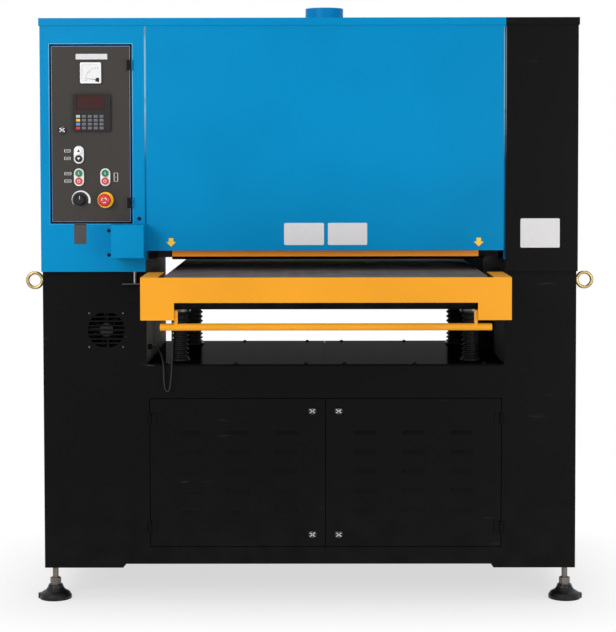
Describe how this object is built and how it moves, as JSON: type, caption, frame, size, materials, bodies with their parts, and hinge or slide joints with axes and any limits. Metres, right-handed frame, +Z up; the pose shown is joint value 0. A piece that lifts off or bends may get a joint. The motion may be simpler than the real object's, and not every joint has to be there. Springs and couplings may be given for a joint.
{
  "type": "wide belt sander",
  "caption": "Floor-standing wide belt sander: cabinet with control panel, abrasive belt on a contact drum, rising feed table on screw jacks, louvred base doors and roof dust port.",
  "frame": {"origin": "on the floor under the middle of the machine's bounding box", "axes": "+Z up, the front faces -Y, +X to the right seen from the front"},
  "size_m": [1.776, 1.36, 1.87],
  "materials": {
    "blue_paint": "gloss",
    "black_paint": "satin",
    "yellow_paint": "satin",
    "panel_paint": "fine texture",
    "zinc": "yellow zinc plate",
    "steel": "machined",
    "chrome": "polished",
    "frame_paint": "matt",
    "iron": "cast",
    "motor_paint": "painted casting",
    "roller_metal": "turned",
    "rubber": "matt",
    "abrasive": "coated grit",
    "chain": "oiled",
    "plate": "zinc with plastic switchgear",
    "black_plastic": "moulded",
    "white_plastic": "moulded",
    "green_plastic": "moulded",
    "red_plastic": "moulded"
  },
  "bodies": {
    "frame": {"left_column": "black_paint", "right_column": "black_paint", "base_cabinet": "black_paint", "deck_plates": "black_paint", "control_cabinet": "blue_paint", "right_cabinet": "black_paint", "hood_front": "blue_paint", "hood_roof": "blue_paint", "dust_port": "blue_paint", "sensor_box": "blue_paint", "lifting_eyes": "zinc", "levelling_feet": "black_paint", "fan_frame": "black_plastic", "head_beam": "frame_paint", "head_bearings": "iron", "main_motor": "motor_paint", "drive_belts": "rubber", "abrasive_belt": "abrasive", "wiring_plate": "plate", "lift_gearboxes": "frame_paint", "lift_chain": "chain", "screw_bellows": "rubber", "switch_cable": "rubber"},
    "table": {"table_bed": "frame_paint", "end_covers": "yellow_paint", "feed_belt": "rubber", "feed_motor": "motor_paint", "lift_screws": "steel", "sensor_rod": "steel"},
    "control_door": {"control_door": "panel_paint", "ammeter": "white_plastic", "readout": "black_plastic", "button_bezels": "white_plastic"},
    "fan_rotor": {"fan_rotor": "black_plastic"},
    "motor_pulley": {"motor_pulley": "steel"},
    "contact_drum": {"contact_drum": "rubber"},
    "tension_roller": {"tension_roller": "roller_metal"},
    "roller_yoke": {"roller_yoke": "frame_paint"},
    "front_pressure_roller": {"front_pressure_roller": "rubber"},
    "rear_pressure_roller": {"rear_pressure_roller": "rubber"},
    "trip_bar": {"trip_bar": "yellow_paint"},
    "drive_roller": {"drive_roller": "steel"},
    "idler_roller": {"idler_roller": "steel"},
    "stop_bar": {"stop_bar": "yellow_paint"},
    "left_door": {"left_door": "black_paint"},
    "right_door": {"right_door": "black_paint"},
    "left_latch_high": {"left_latch_high": "chrome"},
    "left_latch_low": {"left_latch_low": "chrome"},
    "right_latch_high": {"right_latch_high": "chrome"},
    "right_latch_low": {"right_latch_low": "chrome"},
    "belt_door": {"belt_door": "black_paint"},
    "control_lock": {"control_lock": "chrome"},
    "raise_button": {"raise_button": "white_plastic"},
    "lower_button": {"lower_button": "black_plastic"},
    "feed_start_button": {"feed_start_button": "green_plastic"},
    "feed_stop_button": {"feed_stop_button": "red_plastic"},
    "drum_start_button": {"drum_start_button": "green_plastic"},
    "drum_stop_button": {"drum_stop_button": "red_plastic"},
    "estop_button": {"estop_button": "red_plastic"},
    "speed_dial": {"speed_dial": "black_plastic"}
  },
  "joints": [
    {"name": "table_lift", "type": "slide", "parent": "frame", "child": "table", "axis": [0, 0, 1], "range_m": [-0.085, 0.018], "deforming": ["screw_bellows", "switch_cable"]},
    {"name": "left_door_hinge", "type": "hinge", "parent": "frame", "child": "left_door", "pos_m": [-0.4975, -0.3548, 0], "axis": [0, 0, -1], "range_deg": [0, 110]},
    {"name": "right_door_hinge", "type": "hinge", "parent": "frame", "child": "right_door", "pos_m": [0.5965, -0.3548, 0], "axis": [0, 0, 1], "range_deg": [0, 110]},
    {"name": "belt_door_hinge", "type": "hinge", "parent": "frame", "child": "belt_door", "pos_m": [0.8323, 0.259, 0], "axis": [0, 0, 1], "range_deg": [0, 110]},
    {"name": "control_door_hinge", "type": "hinge", "parent": "frame", "child": "control_door", "pos_m": [-0.5455, -0.3828, 0], "axis": [0, 0, 1], "range_deg": [0, 110]},
    {"name": "left_latch_high_turn", "type": "hinge", "parent": "left_door", "child": "left_latch_high", "pos_m": [0.0085, -0.35, 0.593], "axis": [0, 1, 0], "range_deg": [0, 90]},
    {"name": "left_latch_low_turn", "type": "hinge", "parent": "left_door", "child": "left_latch_low", "pos_m": [0.0085, -0.35, 0.206], "axis": [0, 1, 0], "range_deg": [0, 90]},
    {"name": "right_latch_high_turn", "type": "hinge", "parent": "right_door", "child": "right_latch_high", "pos_m": [0.0905, -0.35, 0.593], "axis": [0, -1, 0], "range_deg": [0, 90]},
    {"name": "right_latch_low_turn", "type": "hinge", "parent": "right_door", "child": "right_latch_low", "pos_m": [0.0905, -0.35, 0.206], "axis": [0, -1, 0], "range_deg": [0, 90]},
    {"name": "control_lock_turn", "type": "hinge", "parent": "control_door", "child": "control_lock", "pos_m": [-0.759, -0.378, 1.466], "axis": [0, -1, 0], "range_deg": [0, 90]},
    {"name": "raise_press", "type": "slide", "parent": "control_door", "child": "raise_button", "axis": [0, 1, 0], "range_m": [0, 0.004], "stiffness_N_per_m": 400, "springref_m": -0.002},
    {"name": "lower_press", "type": "slide", "parent": "control_door", "child": "lower_button", "axis": [0, 1, 0], "range_m": [0, 0.004], "stiffness_N_per_m": 400, "springref_m": -0.002},
    {"name": "feed_start_press", "type": "slide", "parent": "control_door", "child": "feed_start_button", "axis": [0, 1, 0], "range_m": [0, 0.004], "stiffness_N_per_m": 400, "springref_m": -0.002},
    {"name": "feed_stop_press", "type": "slide", "parent": "control_door", "child": "feed_stop_button", "axis": [0, 1, 0], "range_m": [0, 0.004], "stiffness_N_per_m": 400, "springref_m": -0.002},
    {"name": "drum_start_press", "type": "slide", "parent": "control_door", "child": "drum_start_button", "axis": [0, 1, 0], "range_m": [0, 0.004], "stiffness_N_per_m": 400, "springref_m": -0.002},
    {"name": "drum_stop_press", "type": "slide", "parent": "control_door", "child": "drum_stop_button", "axis": [0, 1, 0], "range_m": [0, 0.004], "stiffness_N_per_m": 400, "springref_m": -0.002},
    {"name": "estop_press", "type": "slide", "parent": "control_door", "child": "estop_button", "axis": [0, 1, 0], "range_m": [0, 0.005], "stiffness_N_per_m": 600, "springref_m": -0.003},
    {"name": "speed_dial_turn", "type": "hinge", "parent": "control_door", "child": "speed_dial", "pos_m": [-0.705, -0.378, 1.251], "axis": [0, 1, 0], "range_deg": [0, 270]},
    {"name": "drum_spin", "type": "hinge", "parent": "frame", "child": "contact_drum", "pos_m": [0, 0, 1.138], "axis": [1, 0, 0], "continuous": true},
    {"name": "motor_spin", "type": "hinge", "parent": "frame", "child": "motor_pulley", "pos_m": [0, 0, 0.281], "axis": [1, 0, 0], "continuous": true},
    {"name": "belt_tension", "type": "slide", "parent": "frame", "child": "roller_yoke", "axis": [0, 0, 1], "range_m": [-0.025, 0], "stiffness_N_per_m": 20000, "springref_m": 0.12},
    {"name": "tension_spin", "type": "hinge", "parent": "roller_yoke", "child": "tension_roller", "pos_m": [0, 0, 1.648], "axis": [1, 0, 0], "continuous": true},
    {"name": "front_pressure_spin", "type": "hinge", "parent": "frame", "child": "front_pressure_roller", "pos_m": [0, -0.15, 1.0841], "axis": [1, 0, 0], "continuous": true},
    {"name": "rear_pressure_spin", "type": "hinge", "parent": "frame", "child": "rear_pressure_roller", "pos_m": [0, 0.15, 1.0841], "axis": [1, 0, 0], "continuous": true},
    {"name": "trip_bar_swing", "type": "hinge", "parent": "frame", "child": "trip_bar", "pos_m": [0, -0.343, 1.104], "axis": [1, 0, 0], "range_deg": [0, 15]},
    {"name": "drive_spin", "type": "hinge", "parent": "table", "child": "drive_roller", "pos_m": [0, 0.62, 0.9828], "axis": [1, 0, 0], "continuous": true},
    {"name": "idler_spin", "type": "hinge", "parent": "table", "child": "idler_roller", "pos_m": [0, -0.62, 0.9828], "axis": [1, 0, 0], "continuous": true},
    {"name": "stop_bar_swing", "type": "hinge", "parent": "table", "child": "stop_bar", "pos_m": [0, -0.662, 0.9251], "axis": [1, 0, 0], "range_deg": [0, 12]},
    {"name": "fan_spin", "type": "hinge", "parent": "frame", "child": "fan_rotor", "pos_m": [-0.6315, -0.35, 0.846], "axis": [0, 1, 0], "continuous": true}
  ],
  "couplings": [
    {"joint": "motor_spin", "follows": "drum_spin", "ratio": 0.66},
    {"joint": "tension_spin", "follows": "drum_spin", "ratio": 1},
    {"joint": "idler_spin", "follows": "drive_spin", "ratio": 1}
  ]
}
